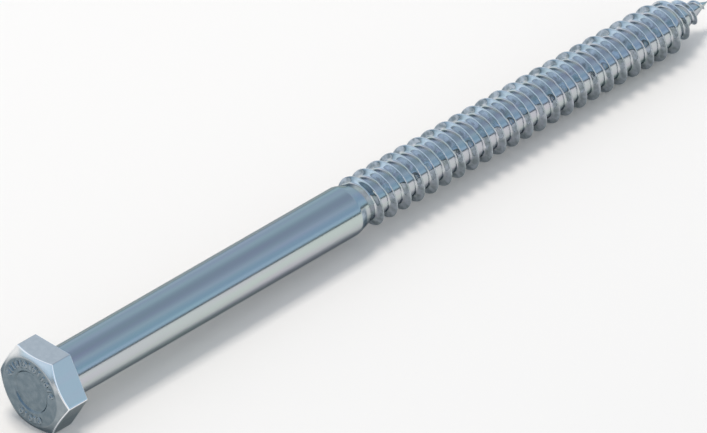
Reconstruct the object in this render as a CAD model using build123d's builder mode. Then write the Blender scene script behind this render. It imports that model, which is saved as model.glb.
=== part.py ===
"""Hex lag bolt, 1/2 in by 8 in: one headed and rolled steel screw, lying where it comes to rest.

The bolt is drawn upright along Z, with its bearing face at Z = 0, its head below and its point above.
The last step lays it down along +X on one flat of its head and on the last full crest of its thread.
All lengths are millimetres and all angles are degrees.
"""
from build123d import *
from math import atan, cos, degrees, pi, radians, sin, tan
import os

INCH = 25.4

# Driving dimensions
thread_diameter = INCH / 2
threads_per_inch = 6
root_diameter = 0.371 * INCH    # the bare core between the thread's turns
bolt_length = 8 * INCH          # bearing face to tip
body_length = 3.5 * INCH        # bearing face to the shoulder
shank_diameter = 11.9
width_across_flats = 18.65
head_height = 7.25
top_circle_share = 0.895        # the head's flat top circle, as a share of its width across flats
top_chamfer_angle = 30
recess_share = 0.62             # the round recess, as a share of the flat top circle
recess_depth = 0.4
shoulder_angle = 15             # half angle of the cone from the shank down to the root
flank_angle = 30                # half angle of the thread's 60 degree profile
point_length = 14               # tip to the last full crest
root_cone_angle = 21            # half angle of the bare cone under the point's thread
run_in_turns = 0.5              # the first crest climbs to full height over this much of a turn
thread_to_tip = 2.5             # the last, smallest crest ends this far short of the tip
ridge_embed = 0.6               # how far the ridge is sunk into the core it is fused to
RAIL_POINTS_PER_TURN = 16

# Worked out from them
pitch = INCH / threads_per_inch
crest_radius = thread_diameter / 2
root_radius = root_diameter / 2
shank_radius = shank_diameter / 2
corner_radius = width_across_flats / 2 / cos(radians(30))
top_circle_radius = top_circle_share * width_across_flats / 2
recess_radius = recess_share * top_circle_radius
shoulder_end = body_length + (shank_radius - root_radius) / tan(radians(shoulder_angle))
root_cone_length = root_radius / tan(radians(root_cone_angle))
point_start = bolt_length - point_length
thread_start = (body_length + shoulder_end) / 2
thread_end = bolt_length - thread_to_tip
rest_tilt = degrees(atan((width_across_flats / 2 - crest_radius) / point_start))


def crest_at(height):
    """Radius of the thread's crest: it climbs out of the shoulder, runs full and narrows to the tip."""
    climb = (height - thread_start) / (run_in_turns * pitch)
    narrowing = (bolt_length - height) / point_length
    climbing_radius = root_radius + (crest_radius - root_radius) * climb
    return min(climbing_radius, crest_radius, crest_radius * narrowing)


def ridge_base_at(height):
    """Radius of the ridge's two feet, which are sunk into the core and narrow with its cone."""
    narrowing = (bolt_length - height) / root_cone_length
    return (root_radius - ridge_embed) * min(1, narrowing)


def helical_rail(radius_at, side, first, last):
    """Spline up the helix between two heights: side 0 is the crest, -1 and +1 are the ridge's feet."""
    steps = round((last - first) / pitch * RAIL_POINTS_PER_TURN)
    points = []
    for step in range(steps + 1):
        height = first + (last - first) * step / steps
        turn = 2 * pi * (height - point_start) / pitch
        half_width = (crest_at(height) - ridge_base_at(height)) * tan(radians(flank_angle))
        radius = radius_at(height)
        points.append(Vector(radius * cos(turn), radius * sin(turn), height + side * half_width))
    return Edge.make_spline(points)


def thread_ridge():
    """The right-hand thread as one closed helical ridge, with two ruled flanks and a base to each turn."""
    stops = [thread_start]
    while stops[-1] + 1.5 * pitch < thread_end:
        stops.append(stops[-1] + pitch)
    stops.append(thread_end)
    turns = []
    for first, last in zip(stops[:-1], stops[1:]):
        turns.append([
            helical_rail(ridge_base_at, -1, first, last),
            helical_rail(crest_at, 0, first, last),
            helical_rail(ridge_base_at, 1, first, last),
        ])
    faces = []
    for head_foot, crest, tip_foot in turns:
        faces.append(Face.make_surface_from_curves(head_foot, crest))
        faces.append(Face.make_surface_from_curves(crest, tip_foot))
        faces.append(Face.make_surface_from_curves(tip_foot, head_foot))
    start_corners = [rail.position_at(0) for rail in turns[0]]
    end_corners = [rail.position_at(1) for rail in turns[-1]]
    faces.append(Face(Wire.make_polygon(start_corners, close=True)))
    faces.append(Face(Wire.make_polygon(end_corners, close=True)))
    return Solid(Shell(faces))


# Hexagonal head, its top corners turned off by a cone, with a shallow round recess in its top
with BuildPart() as head:
    with BuildSketch(Plane.XY.offset(-head_height)):
        RegularPolygon(width_across_flats / 2, 6, major_radius=False, rotation=30)
    extrude(amount=head_height)
    corner_drop = (corner_radius - top_circle_radius) * tan(radians(top_chamfer_angle))
    with BuildSketch(Plane.XZ):
        with BuildLine():
            Polyline(
                (0, 0),
                (0, -head_height),
                (top_circle_radius, -head_height),
                (corner_radius, corner_drop - head_height),
                (corner_radius, 0),
                close=True,
            )
        make_face()
    revolve(axis=Axis.Z, mode=Mode.INTERSECT)
    with BuildSketch(Plane.XY.offset(-head_height)):
        Circle(recess_radius)
    extrude(amount=recess_depth, taper=45, mode=Mode.SUBTRACT)

# Shank, shoulder, bare root and pointed end, turned as one
with BuildPart() as core:
    with BuildSketch(Plane.XZ):
        with BuildLine():
            Polyline(
                (0, 0),
                (shank_radius, 0),
                (shank_radius, body_length),
                (root_radius, shoulder_end),
                (root_radius, bolt_length - root_cone_length),
                (0, bolt_length),
                close=True,
            )
        make_face()
    revolve(axis=Axis.Z)

with BuildPart() as upright_bolt:
    add(head)
    add(core)
    add(thread_ridge())

# Laid along +X, with the middle of its footprint on the origin
laid_bolt = upright_bolt.part.rotate(Axis.Y, 90 + rest_tilt)
laid_box = laid_bolt.bounding_box()
with BuildPart() as lag_bolt:
    add(laid_bolt.moved(Location((-laid_box.center().X, -laid_box.center().Y, -laid_box.min.Z))))

lag_bolt.part.label = "lag_bolt"
os.makedirs("parts", exist_ok=True)
export_step(lag_bolt.part, "parts/lag_bolt.step")
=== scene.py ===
"""Looks of a zinc-plated lag bolt: its forged head, and its shank with the rolled wood thread, in metres."""

from math import atan, cos, radians, sin, sqrt, tan

import bmesh
import bpy
import numpy as np
from mathutils import Matrix, Vector


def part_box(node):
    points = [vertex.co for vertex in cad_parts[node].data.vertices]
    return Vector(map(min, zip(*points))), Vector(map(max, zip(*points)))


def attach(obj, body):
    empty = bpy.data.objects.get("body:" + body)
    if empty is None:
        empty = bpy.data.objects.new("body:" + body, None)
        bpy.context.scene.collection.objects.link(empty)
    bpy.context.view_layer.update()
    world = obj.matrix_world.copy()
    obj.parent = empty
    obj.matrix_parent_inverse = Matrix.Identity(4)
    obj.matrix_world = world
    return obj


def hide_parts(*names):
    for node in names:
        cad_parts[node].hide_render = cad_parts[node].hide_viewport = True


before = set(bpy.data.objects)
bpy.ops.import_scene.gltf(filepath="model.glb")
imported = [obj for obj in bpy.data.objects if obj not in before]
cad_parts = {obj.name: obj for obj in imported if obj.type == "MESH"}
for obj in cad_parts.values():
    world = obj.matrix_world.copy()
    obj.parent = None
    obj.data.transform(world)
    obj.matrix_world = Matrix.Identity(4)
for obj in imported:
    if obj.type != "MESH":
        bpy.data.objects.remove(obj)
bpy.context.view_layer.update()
MM = 0.001

# Sizes of the bolt
THREAD_RADIUS = 6.35 * MM
PITCH = 25.4 / 6 * MM
BOLT_LENGTH = 203.2 * MM        # from the bearing face to the tip
BODY_LENGTH = 88.9 * MM         # from the bearing face to the shoulder
SHANK_RADIUS = 5.95 * MM
ROOT_RADIUS = 4.64 * MM
SHOULDER_ANGLE = radians(15)
POINT_LENGTH = 14 * MM
ROOT_CONE_ANGLE = radians(19)
ACROSS_FLATS = 18.65 * MM
HEAD_HEIGHT = 7.25 * MM
TOP_CIRCLE_RADIUS = 0.895 * ACROSS_FLATS / 2
RECESS_RADIUS = 5.17 * MM
RECESS_DEPTH = 0.4 * MM
CHAMFER_ANGLE = radians(30)

# Finer forms that only the surface shows. A blend is how softly one form runs into the next.
FLANK_ANGLE = radians(21)       # the rolled flanks, from square to the axis
FLANK_BLEND = 0.6 * MM          # flank into root
SHOULDER_BLEND = 0.06 * MM      # shank into shoulder
ROOT_BLEND = 0.15 * MM          # shoulder into root
POINT_BLEND = 0.3 * MM          # root into the point's cone
CREST_ROUNDING = 0.12 * MM
ROLLING_WAVES = 0.20 * MM       # how uneven the rolls left the flanks
NARROWING_POWER = 0.87          # under 1, the crests narrow in a slight curve
NARROWING_BLEND = 0.05          # full crests into narrowing ones, as a share of their radius
UNDER_HEAD_FILLET = 0.45 * MM
CORNER_ROUNDING = 0.35 * MM     # the head's upright edges
MARK_HEIGHT = 0.32 * MM

# How far each edge round the head is broken back
LOWER_REACH = 0.12 * MM         # bearing face and flats
UPPER_REACH = 0.24 * MM         # flats and chamfer
TOP_REACH = 0.25 * MM           # chamfer and top
RIM_REACH = 0.12 * MM           # top and recess
FLOOR_REACH = 0.1 * MM          # the recess's wall and floor
OUTSIDE_REACH = 0.06 * MM       # from where an edge's bend ends to where its finish does

# Where the bolt lies: along +X, tipped onto its last full crest
POINT_START = BOLT_LENGTH - POINT_LENGTH
REST_TILT = atan((ACROSS_FLATS / 2 - THREAD_RADIUS) / POINT_START)
AXIS = np.array([cos(REST_TILT), 0.0, -sin(REST_TILT)])
SIDEWAYS = np.array([0.0, 1.0, 0.0])
UPWARDS = np.array([sin(REST_TILT), 0.0, cos(REST_TILT)])
POINT_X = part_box("lag_bolt")[1][0]
BEARING_CENTRE = np.array([POINT_X - BOLT_LENGTH * cos(REST_TILT), 0.0, ACROSS_FLATS / 2 * cos(REST_TILT)])


def soft_max(a, b, reach):
    """The larger of two profiles, plus a parabola where the gap between them is less than the reach."""
    return np.maximum(a, b) + np.maximum(reach - np.abs(a - b), 0) ** 2 / (4 * reach)


def soft_min(a, b, reach):
    """The smaller of two profiles, blended in the same way."""
    return -soft_max(-a, -b, reach)


def rising(value, start, end):
    """0 up to start, 1 from end, and a straight ramp between them."""
    return np.clip((value - start) / (end - start), 0, 1)


def falling(value, start, end):
    """1 up to start, 0 from end, and a straight ramp between them."""
    return rising(-value, -end, -start)


def lay_down(along, angle, radius):
    """Points in the scene, from their distance along the axis, their radius and their angle round it.

    The distance counts from the bearing face, and the angle from straight down.
    """
    across = radius * np.sin(angle)
    up = -radius * np.cos(angle)
    return BEARING_CENTRE + along[..., None] * AXIS + across[..., None] * SIDEWAYS + up[..., None] * UPWARDS


WELD_DISTANCE = 0.0002 * MM


def add_grids(name, grids, wear_and_shading, material):
    """One closed mesh from grids of points whose shared edges meet exactly; its quads are welded there.

    The shares hold, for each kind of worn finish, painted light or painted shade, a value from 0 to 1 at the
    points of each grid, which the finish reads.
    """
    points = []
    quads = []
    first = 0
    for grid in grids:
        rows, columns = grid.shape[:2]
        index = first + np.arange(rows * columns).reshape(rows, columns)
        corners = (index[:-1, :-1], index[:-1, 1:], index[1:, 1:], index[1:, :-1])
        quads.append(np.stack(corners, axis=-1).reshape(-1, 4))
        points.append(grid.reshape(-1, 3))
        first += rows * columns
    mesh = bpy.data.meshes.new(name)
    mesh.from_pydata(np.concatenate(points).tolist(), [], np.concatenate(quads).tolist())
    for kind, shares in wear_and_shading.items():
        spread = [np.broadcast_to(share, grid.shape[:2]).ravel() for share, grid in zip(shares, grids)]
        mesh.attributes.new(kind, "FLOAT", "POINT").data.foreach_set("value", np.concatenate(spread))
    shell = bmesh.new()
    shell.from_mesh(mesh)
    bmesh.ops.remove_doubles(shell, verts=shell.verts, dist=WELD_DISTANCE)
    bmesh.ops.recalc_face_normals(shell, faces=shell.faces)
    for face in shell.faces:
        face.smooth = True
    shell.to_mesh(mesh)
    shell.free()
    piece = bpy.data.objects.new(name, mesh)
    bpy.context.collection.objects.link(piece)
    mesh.materials.append(material)
    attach(piece, "root")
    return piece


# ---- Shank and thread

COLUMNS = 72                            # round the bolt
THREAD_START = BODY_LENGTH + 2.35 * MM  # where the crest begins to grow
RUN_IN_TURNS = 0.5                      # how long it grows
# The shoulder's greyer part is a painted dark reflection
DARK_SHOULDER_REACH = 1.6 * MM                # how far from the shank the shoulder is greyer
# The shares spread along the climb include painted highlight and painted dark reflection
LEAST_CLIMB = 0.5 * MM                  # the least height of a crest, where the wear is shared out
DISC_DEPTH = 0.5 * MM                   # how deep inside the head the shank ends

# Shares on the thread of burnish and painted highlight, and of painted dark reflection
CREST_POLISH_AND_HIGHLIGHT = 0.6
FLANK_HIGHLIGHT = 0.5
LOWER_FLANK_REFLECTION = 0.45

# Across the thread's strip, distances from the crest, closest where the profile bends
PROFILE_STEPS = MM * np.array([
    0, 0.05, 0.1, 0.16, 0.24, 0.34, 0.46, 0.58, 0.7, 0.8, 0.9, 1.0, 1.12, 1.3, 1.6, 1.85
])


def upper_far_side(angle):
    """1 on the side that faces up and to +Y, -1 on the opposite one: the cosine of the angle between."""
    return np.cos(angle - radians(135))


def core_radius(along):
    """Fillet under the head, cylinder, 15 degree shoulder, root, then the point's bare cone to the tip."""
    into_fillet = np.clip(UNDER_HEAD_FILLET - along, 0, UNDER_HEAD_FILLET)
    fillet = UNDER_HEAD_FILLET - np.sqrt(UNDER_HEAD_FILLET ** 2 - into_fillet ** 2)
    shoulder = SHANK_RADIUS - (along - BODY_LENGTH) * tan(SHOULDER_ANGLE)
    body = soft_min(SHANK_RADIUS + 0 * along, shoulder, SHOULDER_BLEND)
    turned = soft_max(body, ROOT_RADIUS, ROOT_BLEND)
    point = np.maximum(BOLT_LENGTH - along, 0) * tan(ROOT_CONE_ANGLE)
    return soft_min(turned + fillet, point, POINT_BLEND)


def crest_radius(along):
    """The full thread radius, times a slightly rounded narrowing from the last full crest to the tip."""
    narrowing = (np.maximum(BOLT_LENGTH - along, 0) / POINT_LENGTH) ** NARROWING_POWER
    return THREAD_RADIUS * soft_min(1 + 0 * along, narrowing, NARROWING_BLEND)


def shoulder_dark_reflection(along, angle):
    """Share of painted dark reflection: the near lower side of the shoulder's cone, up to the thread's first
    turn.
    """
    on_cone = rising(along, BODY_LENGTH - 0.02 * MM, BODY_LENGTH + 0.1 * MM)
    turn_start = BODY_LENGTH + DARK_SHOULDER_REACH
    before_turn = falling(along, turn_start, turn_start + 0.4 * MM)
    return on_cone * before_turn * rising(-upper_far_side(angle), 0.25, 0.35)


def thread_wear_and_shading(climb, side, along, angle):
    """Shares of worn finish, painted highlight and painted dark reflection on the strip, from how far it
    climbs from root to crest and on which side it is.

    The flanks take the second, mottled plating, but not the root and the crest. The crests are brightened,
    partly as burnish and partly as painted highlight, except on the lower near side, and a band of the flanks
    beside the upper far edge carries a painted highlight. The upper far edge and, in part, the lower flanks
    are darkened as a painted dark reflection, and so is the shoulder's near lower side.
    """
    dull_and_shade = rising(climb, 0.06, 0.2) * falling(climb, 0.85, 0.93)
    # Painted dark reflection on the upper far edge and, in part, on the lower flanks
    upper_edge_reflection = rising(side, 0.78, 0.93)
    lower_flank_reflection = LOWER_FLANK_REFLECTION * rising(-side, 0.05, 0.3)
    painted_reflection = rising(climb, 0.1, 0.3) * np.maximum(upper_edge_reflection, lower_flank_reflection)
    # Painted highlight on the crests, partly burnish, and on a band of the upper far flanks
    crest_highlight = CREST_POLISH_AND_HIGHLIGHT * rising(climb, 0.91, 0.97) * rising(side, -0.3, 0)
    flank_highlight_band = FLANK_HIGHLIGHT * dull_and_shade * rising(side, 0.3, 0.6) * (1 - painted_reflection)
    on_core = falling(climb, 0.06, 0.2)
    # Painted dark reflection on the shoulder's near lower side
    painted_reflection = np.maximum(painted_reflection, shoulder_dark_reflection(along, angle) * on_core)
    return dull_and_shade, np.maximum(crest_highlight, flank_highlight_band), painted_reflection


def thread_grids():
    """The threaded end as one strip a pitch wide, wound along the helix with its crest down the middle.

    Across the strip the profile is a crest, two straight flanks and the root, each blended into the next. Two
    waves round the bolt make the flanks uneven. Along the strip the ridge grows out of the shoulder over half
    a turn. A wedge fills the turn between the strip and the shank.
    """
    half = np.append(PROFILE_STEPS, PITCH / 2)
    offset = np.concatenate([-half[:0:-1], half])
    turns = (BOLT_LENGTH + PITCH / 2 - THREAD_START) / PITCH
    steps = int(np.ceil(turns * COLUMNS)) + 1
    wound = np.arange(steps + 1) / COLUMNS
    crest = THREAD_START + PITCH * wound
    along = np.minimum(crest[:, None] + offset, BOLT_LENGTH)
    angle = 2 * np.pi * (crest - POINT_START) / PITCH

    core = core_radius(along)
    rounded = np.sqrt(offset ** 2 + CREST_ROUNDING ** 2) - CREST_ROUNDING
    seven_a_turn = np.sin(7 * angle)
    eleven_a_turn = 0.6 * np.sin(11.3 * angle + 1)
    uneven = ROLLING_WAVES * (seven_a_turn + eleven_a_turn)[:, None]
    straight = crest_radius(along) - rounded / tan(FLANK_ANGLE)
    flank = straight + uneven * rising(rounded, 0.1 * MM, 0.6 * MM)
    grown = np.clip(wound / RUN_IN_TURNS, 0, 1)[:, None]
    ridge = soft_max(core, flank, FLANK_BLEND)
    radius = np.where(along < BOLT_LENGTH, core + grown * (ridge - core), 0)
    strip = lay_down(along, angle[:, None] + 0 * along, radius)

    full_climb = crest_radius(along[:, len(offset) // 2]) - ROOT_RADIUS
    climb = (radius - core) / np.maximum(full_climb, LEAST_CLIMB)[:, None]
    side = upper_far_side(angle)[:, None]
    dull_and_shade, burnish_and_highlight, painted_reflection = thread_wear_and_shading(climb, side, along, angle[:, None])

    share = (offset + PITCH / 2) / PITCH
    widening = np.arange(COLUMNS + 1)[:, None] / COLUMNS
    wedge_along = THREAD_START - PITCH / 2 + PITCH * widening * share
    wedge_angle = angle[: COLUMNS + 1, None] + 0 * wedge_along
    wedge = lay_down(wedge_along, wedge_angle, core_radius(wedge_along))
    # Painted dark reflection on the shoulder's near lower side
    wedge_reflection = shoulder_dark_reflection(wedge_along, wedge_angle)
    return [wedge, strip], {"dull_and_shade": [0, dull_and_shade], "burnish_and_highlight": [0, burnish_and_highlight], "painted_reflection": [wedge_reflection, painted_reflection]}


def shank_grid():
    """Rings from inside the head to the thread's wedge, closed by a disc where the head hides it."""
    disc = [-DISC_DEPTH, -DISC_DEPTH]
    fillet = UNDER_HEAD_FILLET * np.array([0, 0.1, 0.25, 0.45, 0.7, 1])
    body = np.linspace(1 * MM, BODY_LENGTH - 0.6 * MM, 40)
    shoulder = np.linspace(BODY_LENGTH - 0.4 * MM, THREAD_START - PITCH / 2, 6)
    along = np.concatenate([disc, fillet, body, shoulder])[:, None]
    start_angle = 2 * np.pi * (THREAD_START - POINT_START) / PITCH
    angle = start_angle + 2 * np.pi * np.arange(COLUMNS + 1) / COLUMNS
    radius = core_radius(np.maximum(along, 0))
    radius[0] = 0
    rings = lay_down(*np.broadcast_arrays(along, angle, radius))
    # On the shank only the painted dark reflection on the shoulder's near lower side
    return rings, {"dull_and_shade": 0, "burnish_and_highlight": 0, "painted_reflection": shoulder_dark_reflection(along, angle)}


# ---- Head

RAYS_PER_FLAT = 76
CORNER_STEPS = 8                # rays round each upright edge
LOWER_STEPS = 3                 # rows across the edge of the bearing face
UPPER_STEPS = 5                 # rows across the edge of the chamfer
TOP_STEPS = 4                   # rows across the edge of the top
RIM_STEPS = 3                   # rows across each edge of the recess
MARK_ROWS = 30                  # rows under the raised marks

# Raised marks: places counted from straight up, and sizes in millimetres
MARK_SPACING = radians(12)
UPPER_ARC_END = 6
LOWER_ARC_START = 13
RINGS_OF_SEVEN = (1, 4, 6)
MARK_CIRCLE = 6.78
BAR_HALF_WIDTH = 0.27
BAR_HALF_LENGTH = 0.82
RING_RADIUS = 0.4
RING_HALF_WALL = 0.2
RING_SQUASH = 0.72


def hexagon_outline():
    """Angle and radius of the head's outline: six flats joined by arcs, as points round a smaller hexagon."""
    corner_turn = np.radians(np.linspace(-30, 30, CORNER_STEPS + 1))
    inner = ACROSS_FLATS / 2 - CORNER_ROUNDING
    reach = inner * tan(radians(30))
    flat = np.linspace(-reach, reach, RAYS_PER_FLAT - CORNER_STEPS)[1:-1]
    sides = []
    for side in range(6):
        turn = radians(60 * side)
        outward = np.array([cos(turn), sin(turn)])
        forward = np.array([-sin(turn), cos(turn)])
        sides.append(ACROSS_FLATS / 2 * outward + flat[:, None] * forward)
        corner = inner * outward + reach * forward
        arc = corner_turn + turn + radians(30)
        sides.append(corner + CORNER_ROUNDING * np.stack([np.cos(arc), np.sin(arc)], axis=-1))
    outline = np.concatenate(sides)
    outline = np.vstack([outline, outline[:1]])
    return np.arctan2(outline[:, 1], outline[:, 0]), np.hypot(outline[:, 0], outline[:, 1])


def broken_edge(before, corner, after, reach, steps):
    """A corner of a profile as a parabola that starts and ends a reach away, on the lines to its neighbours.

    One more point stands a little outside each end, so that what the finish does on the edge stops there.
    """
    back = (before - corner) / np.linalg.norm(before - corner, axis=-1, keepdims=True)
    on = (after - corner) / np.linalg.norm(after - corner, axis=-1, keepdims=True)
    share = np.linspace(0, 1, steps + 1)[:, None, None]
    bend = corner + (1 - share) ** 2 * reach * back + share ** 2 * reach * on
    outside = reach + OUTSIDE_REACH
    return np.concatenate([(corner + outside * back)[None], bend, (corner + outside * on)[None]])


def raised_marks(angle, radius):
    """Height of the plain raised marks round the top: bars and small rings, evenly spaced, in two arcs.

    A bar is where the larger of two distances from its middle, each over its half size, is under 1. A ring is
    where the distance from its circle, over half its wall, is under 1. The sides of both slope.
    """
    turn = np.arctan2(np.sin(angle - np.pi), np.cos(angle - np.pi))
    place = np.round(turn / MARK_SPACING)
    across = (turn - place * MARK_SPACING) * radius / MM
    lengthways = radius / MM - MARK_CIRCLE
    bar = np.maximum(np.abs(across) / BAR_HALF_WIDTH, np.abs(lengthways) / BAR_HALF_LENGTH)
    ring = np.abs(np.hypot(across, RING_SQUASH * lengthways) - RING_RADIUS) / RING_HALF_WALL
    is_ring = np.isin(place % 7, RINGS_OF_SEVEN)
    shape = np.where(is_ring, ring, bar)
    in_arcs = (np.abs(place) <= UPPER_ARC_END) | (np.abs(place) >= LOWER_ARC_START)
    return MARK_HEIGHT * falling(shape, 0.75, 1.25) * in_arcs


def head_wear_and_shading(angle, radius, marks, on_edge, above_edge):
    """Shares of worn finish, painted highlight, painted shade and painted reflection on the head, from the
    angle round it, the radius and the rows of its profile.

    Burnished are the broken edges and a little of the marks; the lower upright edges and the upper chamfer
    carry a painted highlight. The top, the lower chamfer and, in part, the lower flats take the dark second
    plating: on the top a duller finish with a painted dark reflection, elsewhere painted shade. The uppermost
    flat carries a lighter painted reflection.
    """
    downward = np.cos(angle)
    beside_corner = np.abs(np.degrees(angle) % 60 - 30)
    # Painted highlight on the lower upright edges
    lower_corner_highlight = rising(downward, -0.5, -0.1) * falling(beside_corner, 1.2, 2.2) * ~above_edge
    on_top = falling(radius, TOP_CIRCLE_RADIUS - 0.2 * MM, TOP_CIRCLE_RADIUS + 0.7 * MM)
    # The dark second plating: on the top a duller finish with painted dark reflection, on the lower chamfer
    # painted shade
    shaded_top_and_lower_chamfer = np.maximum(on_top, 0.9 * rising(downward, -0.75, -0.35)) * above_edge
    # Burnished broken edges, with painted highlight on the lower upright edges and the upper chamfer
    burnish_and_highlight = np.maximum(np.maximum(on_edge, lower_corner_highlight), 0.6 * above_edge * (1 - shaded_top_and_lower_chamfer))
    burnish_and_highlight = np.maximum(burnish_and_highlight, 0.1 * rising(marks, 0.1 * MARK_HEIGHT, 0.5 * MARK_HEIGHT))
    # Painted shade, in part, on the lower flats
    dull_and_shade = shaded_top_and_lower_chamfer + 0.25 * rising(downward, 0.4, 0.5) * ~above_edge
    # Painted light reflection on the uppermost flat
    painted_reflection = rising(-downward, 0.860, 0.872) * ~above_edge
    return {"dull_and_shade": dull_and_shade, "burnish_and_highlight": burnish_and_highlight, "painted_reflection": painted_reflection}


def head_grid():
    """Rays from the axis: underside, flat, 30 degree chamfer, top and recess, with every edge broken."""
    angle, rim = hexagon_outline()
    top = HEAD_HEIGHT - MARK_HEIGHT
    ray = np.ones_like(rim)
    underside = np.stack([rim, 0 * ray], axis=-1)
    shoulder = np.stack([rim, top - (rim - TOP_CIRCLE_RADIUS) * tan(CHAMFER_ANGLE)], axis=-1)
    crown = np.stack([TOP_CIRCLE_RADIUS * ray, top * ray], axis=-1)
    recess_rim = np.stack([RECESS_RADIUS * ray, top * ray], axis=-1)
    recess_floor = np.stack([(RECESS_RADIUS - RECESS_DEPTH) * ray, (top - RECESS_DEPTH) * ray], axis=-1)
    middle = np.stack([0 * ray, (top - RECESS_DEPTH) * ray], axis=-1)
    start = np.zeros_like(middle)
    marked_share = np.linspace(0, 1, MARK_ROWS + 2)[1:-1, None, None]
    marked_outside = crown + np.array([-0.3 * MM, 0])
    marked_inside = recess_rim + np.array([0.2 * MM, 0])
    profile = np.concatenate([
        start[None],
        broken_edge(start, underside, shoulder, LOWER_REACH, LOWER_STEPS),
        broken_edge(underside, shoulder, crown, UPPER_REACH, UPPER_STEPS),
        (shoulder * 0.5 + crown * 0.5)[None],
        broken_edge(shoulder, crown, recess_rim, TOP_REACH, TOP_STEPS),
        marked_outside * (1 - marked_share) + marked_inside * marked_share,
        broken_edge(crown, recess_rim, recess_floor, RIM_REACH, RIM_STEPS),
        broken_edge(recess_rim, recess_floor, middle, FLOOR_REACH, RIM_STEPS),
        middle[None],
    ])

    # The profile's rows up to the chamfer: 1 on the bends of the flats' two edges, 0 before and between them
    bends = [0, 0, *[1] * (LOWER_STEPS + 1), 0, 0, *[1] * (UPPER_STEPS + 1)]
    on_edge = np.array(bends + [0] * (len(profile) - len(bends)))[:, None]
    above_edge = (np.arange(len(profile)) >= len(bends))[:, None]
    radius = profile[..., 0]
    marks = raised_marks(angle, radius)
    height = profile[..., 1] + marks
    wear_and_shading = head_wear_and_shading(angle, radius, marks, on_edge, above_edge)
    return lay_down(-height, np.broadcast_to(angle, radius.shape), radius), wear_and_shading


# ---- Finishes

# Colour of the burnished edges and of the painted highlights
BURNISH_AND_HIGHLIGHT_ZINC = (0.93, 0.95, 0.97)
GRAZING_TINT = (0.35, 0.40, 0.43, 1)

# Scales of the patterns, in waves a metre along X, Y and Z
STREAKS = (22, 420, 420)
MOTTLE = (700, 700, 700)
DRAWING_LINES = (60, 5000, 5000)


def new_material(name):
    """A material with an empty node tree, and that tree."""
    material = bpy.data.materials.new(name)
    material.use_nodes = True
    material.node_tree.nodes.clear()
    return material, material.node_tree


def noise(tree, scale, detail):
    """Soft noise on Object coordinates, with a scale for each direction, in waves a metre."""
    place = tree.nodes.new("ShaderNodeTexCoord")
    stretch = tree.nodes.new("ShaderNodeMapping")
    stretch.inputs["Scale"].default_value = scale
    clouds = tree.nodes.new("ShaderNodeTexNoise")
    clouds.inputs["Scale"].default_value = 1
    clouds.inputs["Detail"].default_value = detail
    tree.links.new(place.outputs["Object"], stretch.inputs["Vector"])
    tree.links.new(stretch.outputs["Vector"], clouds.inputs["Vector"])
    return clouds.outputs["Fac"]


def mixed(tree, factor, first, second):
    """The first colour turning into the second as the factor goes from 0 to 1.

    Of the Mix node's sockets, input 0 is the factor, inputs 6 and 7 and output 2 are the colours.
    """
    mix = tree.nodes.new("ShaderNodeMix")
    mix.data_type = "RGBA"
    tree.links.new(factor, mix.inputs[0])
    for socket, colour in ((mix.inputs[6], first), (mix.inputs[7], second)):
        if isinstance(colour, tuple):
            socket.default_value = (*colour, 1)
        else:
            tree.links.new(colour, socket)
    return mix.outputs[2]


def ranged(tree, value, low, high, start=0, end=1):
    """A value's range from low to high, mapped to the range from start to end."""
    node = tree.nodes.new("ShaderNodeMapRange")
    node.inputs["From Min"].default_value = low
    node.inputs["From Max"].default_value = high
    node.inputs["To Min"].default_value = start
    node.inputs["To Max"].default_value = end
    tree.links.new(value, node.inputs["Value"])
    return node.outputs["Result"]


def read_attribute(tree, name):
    """A share of wear that the mesh carries at its points."""
    node = tree.nodes.new("ShaderNodeAttribute")
    node.attribute_name = name
    return node.outputs["Fac"]


def zinc_plating(name, clean, dull_and_shade, painted_reflection, roughness, dull_roughness):
    """Bright zinc with violet and green streaks of its passivation, fine drawing lines, burnish with painted
    highlights, painted shade and painted reflection.

    Clean plating varies along the streaks between its pair of colours; the second plating, which on the head
    paints shade, and the painted reflection vary in a mottle.
    The roughness is that of clean plating, varied a little by the drawing lines, plus the dull share times the
    difference between the two roughnesses.
    """
    material, tree = new_material(name)
    output = tree.nodes.new("ShaderNodeOutputMaterial")
    metal = tree.nodes.new("ShaderNodeBsdfPrincipled")
    metal.inputs["Metallic"].default_value = 1.0
    metal.inputs["Specular Tint"].default_value = GRAZING_TINT
    tree.links.new(metal.outputs["BSDF"], output.inputs["Surface"])

    streaks = ranged(tree, noise(tree, STREAKS, detail=4), low=0.35, high=0.65)
    mottle = ranged(tree, noise(tree, MOTTLE, detail=3), low=0.38, high=0.62)
    plating = mixed(tree, streaks, *clean)
    # The second plating, on the head partly painted shade; then painted reflection; then burnish and painted
    # highlight
    plating = mixed(tree, read_attribute(tree, "dull_and_shade"), plating, mixed(tree, mottle, *dull_and_shade))
    plating = mixed(tree, read_attribute(tree, "painted_reflection"), plating, mixed(tree, mottle, *painted_reflection))
    plating = mixed(tree, read_attribute(tree, "burnish_and_highlight"), plating, BURNISH_AND_HIGHLIGHT_ZINC)
    tree.links.new(plating, metal.inputs["Base Color"])

    lines = noise(tree, DRAWING_LINES, detail=3)
    gloss = tree.nodes.new("ShaderNodeMath")
    gloss.operation = "MULTIPLY_ADD"
    gloss.inputs[1].default_value = dull_roughness - roughness
    tree.links.new(read_attribute(tree, "dull_and_shade"), gloss.inputs[0])
    clean_roughness = ranged(tree, lines, low=0, high=1, start=0.8 * roughness, end=1.25 * roughness)
    tree.links.new(clean_roughness, gloss.inputs[2])
    tree.links.new(gloss.outputs["Value"], metal.inputs["Roughness"])
    bump = tree.nodes.new("ShaderNodeBump")
    bump.inputs["Strength"].default_value = 0.04
    bump.inputs["Distance"].default_value = 0.02 * MM
    tree.links.new(lines, bump.inputs["Height"])
    tree.links.new(bump.outputs["Normal"], metal.inputs["Normal"])
    return material


# ---- Studio

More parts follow.
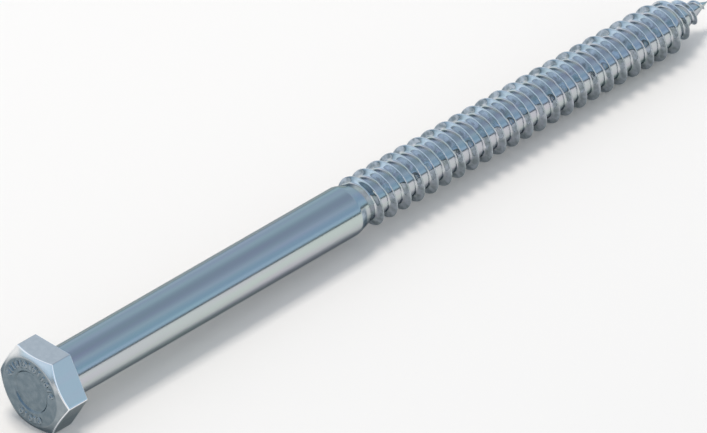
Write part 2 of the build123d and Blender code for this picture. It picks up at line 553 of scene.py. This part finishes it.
FLOOR_COLOUR = (0.92, 0.86, 0.80, 1)
STUDIO_FLOOR_REACH = 1.5        # each way from the middle

# The dome by the sine of the elevation: towards -Y, and towards +Y
HORIZON_GREY = (0.14, 0.17, 0.19)
HIGH_DOME = [
    (0.80, (0.32, 0.40, 0.53)),
    (0.90, (0.25, 0.30, 0.38)),
]
FRONT_DOME = [
    (0.0, HORIZON_GREY),
    (0.06, HORIZON_GREY),
    (0.15, (0.46, 0.63, 0.80)),
    (0.27, (0.45, 0.62, 0.79)),
    (0.36, (0.33, 0.49, 0.66)),
    (0.50, (0.35, 0.50, 0.66)),
    (0.66, (0.44, 0.55, 0.69)),
    *HIGH_DOME,
]
BACK_DOME = [
    (0.0, (0.40, 0.46, 0.49)),
    (0.10, (0.57, 0.72, 0.83)),
    (0.25, (0.62, 0.75, 0.89)),
    (0.40, (0.46, 0.58, 0.73)),
    (0.70, (0.44, 0.55, 0.69)),
    *HIGH_DOME,
]

# A pale panel across the dome, by where it stands from -X (0) to +X (1)
PANEL_COLOUR = (0.91, 0.94, 0.97)
PANEL_OFF = (0, 0, 0)
PANEL_ON = (0.95, 0.95, 0.95)
PANEL = [
    (0.19, PANEL_OFF),
    (0.28, PANEL_ON),
    (0.57, PANEL_ON),
    (0.69, PANEL_OFF),
]

# Where the camera looks, from the middle of the bolt's length
VIEW_WIDTH = 0.1551
AIM_RIGHT = -6.86 * MM
AIM_UP = -6.3 * MM


def studio_floor():
    """A pale matt sheet under the bolt."""
    material, tree = new_material("pale_floor")
    output = tree.nodes.new("ShaderNodeOutputMaterial")
    sheet = tree.nodes.new("ShaderNodeBsdfPrincipled")
    sheet.inputs["Base Color"].default_value = FLOOR_COLOUR
    sheet.inputs["Roughness"].default_value = 0.9
    sheet.inputs["Specular IOR Level"].default_value = 0.1
    tree.links.new(sheet.outputs["BSDF"], output.inputs["Surface"])
    mesh = bpy.data.meshes.new("floor")
    reach = STUDIO_FLOOR_REACH
    corners = [(-reach, -reach, 0), (reach, -reach, 0), (reach, reach, 0), (-reach, reach, 0)]
    mesh.from_pydata(corners, [], [(0, 1, 2, 3)])
    mesh.materials.append(material)
    floor = bpy.data.objects.new("floor", mesh)
    bpy.context.collection.objects.link(floor)


def colour_ramp(tree, value, stops):
    """The colour that a value has between the stops of a ramp, each a place from 0 to 1 and its colour."""
    ramp = tree.nodes.new("ShaderNodeValToRGB")
    elements = ramp.color_ramp.elements
    while len(elements) < len(stops):
        elements.new(0.5)
    for element, (place, colour) in zip(elements, stops):
        element.position = place
        element.color = (*colour, 1)
    tree.links.new(value, ramp.inputs["Fac"])
    return ramp.outputs["Color"]


def studio_world():
    """A cool soft dome: dark at the horizon, pale above it and deeper blue-grey towards the top."""
    world = bpy.data.worlds.new("studio")
    bpy.context.scene.world = world
    world.use_nodes = True
    tree = world.node_tree
    tree.nodes.clear()
    output = tree.nodes.new("ShaderNodeOutputWorld")
    dome = tree.nodes.new("ShaderNodeBackground")
    tree.links.new(dome.outputs["Background"], output.inputs["Surface"])
    place = tree.nodes.new("ShaderNodeTexCoord")
    parts = tree.nodes.new("ShaderNodeSeparateXYZ")
    tree.links.new(place.outputs["Generated"], parts.inputs["Vector"])
    front = colour_ramp(tree, parts.outputs["Z"], FRONT_DOME)
    back = colour_ramp(tree, parts.outputs["Z"], BACK_DOME)
    blend = mixed(tree, ranged(tree, parts.outputs["Y"], low=-0.15, high=0.25), front, back)
    panel = colour_ramp(tree, ranged(tree, parts.outputs["X"], low=-1, high=1), PANEL)
    tree.links.new(mixed(tree, panel, blend, PANEL_COLOUR), dome.inputs["Color"])
    dome.inputs["Strength"].default_value = 1.0


def soft_box(name, place, aim, size, power, colour):
    """A square lamp that stands at its place, faces its aim and has no reflection of its own in the metal."""
    light = bpy.data.lights.new(name, "AREA")
    light.shape = "SQUARE"
    light.size = size
    light.energy = power
    light.color = colour
    lamp = bpy.data.objects.new(name, light)
    lamp.location = place
    lamp.rotation_euler = (Vector(aim) - Vector(place)).to_track_quat("-Z", "Y").to_euler()
    lamp.visible_glossy = False
    bpy.context.collection.objects.link(lamp)


def studio_camera():
    """A long lens that looks squarely down the body diagonal of the bolt's own axes."""
    right = (AXIS - SIDEWAYS) / sqrt(2)
    back = (-AXIS - SIDEWAYS + UPWARDS) / sqrt(3)
    up = np.cross(back, right)
    data = bpy.data.cameras.new("camera")
    data.lens = 1000
    data.sensor_width = 36
    data.clip_end = 20
    distance = VIEW_WIDTH * data.lens / data.sensor_width
    aim = BEARING_CENTRE + BOLT_LENGTH / 2 * AXIS + AIM_RIGHT * right + AIM_UP * up
    place = aim + distance * back
    turn = np.stack([right, up, back], axis=-1)
    camera = bpy.data.objects.new("camera", data)
    camera.matrix_world = Matrix([*np.column_stack([turn, place]).tolist(), [0, 0, 0, 1]])
    bpy.context.collection.objects.link(camera)
    bpy.context.scene.camera = camera


shank_finish = zinc_plating(
    "zinc_plating_shank",
    clean=((0.55, 0.55, 0.60), (0.53, 0.60, 0.58)),
    dull_and_shade=((0.56, 0.60, 0.59), (0.76, 0.77, 0.81)),
    # Dark colours of the painted reflection on the thread's edges, its lower flanks and the shoulder
    painted_reflection=((0.20, 0.25, 0.29), (0.42, 0.49, 0.57)),
    roughness=0.14,
    dull_roughness=0.07,
)
head_finish = zinc_plating(
    "zinc_plating_head",
    clean=((0.73, 0.71, 0.70), (0.70, 0.72, 0.70)),
    # Dark colours: the duller top with painted dark reflection, and painted shade on the lower chamfer and
    # flats
    dull_and_shade=((0.18, 0.23, 0.265), (0.23, 0.28, 0.315)),
    # Lighter colours of the painted reflection on the uppermost flat
    painted_reflection=((0.85, 0.80, 0.74), (0.91, 0.85, 0.78)),
    roughness=0.15,
    dull_roughness=0.26,
)
shank, shank_shading = shank_grid()
thread, shading_and_wear_on_thread = thread_grids()
shaft_shading_and_wear = {kind: [shank_shading[kind], *shares] for kind, shares in shading_and_wear_on_thread.items()}
shaft = add_grids("shank_and_thread", [shank, *thread], shaft_shading_and_wear, shank_finish)
crown, crown_shading_and_wear = head_grid()
head_shares = {kind: [share] for kind, share in crown_shading_and_wear.items()}
add_grids("hex_head", [crown], head_shares, head_finish)
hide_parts("lag_bolt")

studio_floor()
studio_world()
soft_box(
    "key_softbox",
    place=(0.03, 0.40, 1.30),
    aim=(0, 0, 0),
    size=0.40,
    power=8.1,
    colour=(1.0, 0.99, 0.97),
)
studio_camera()
bpy.context.scene.view_settings.view_transform = "Standard"
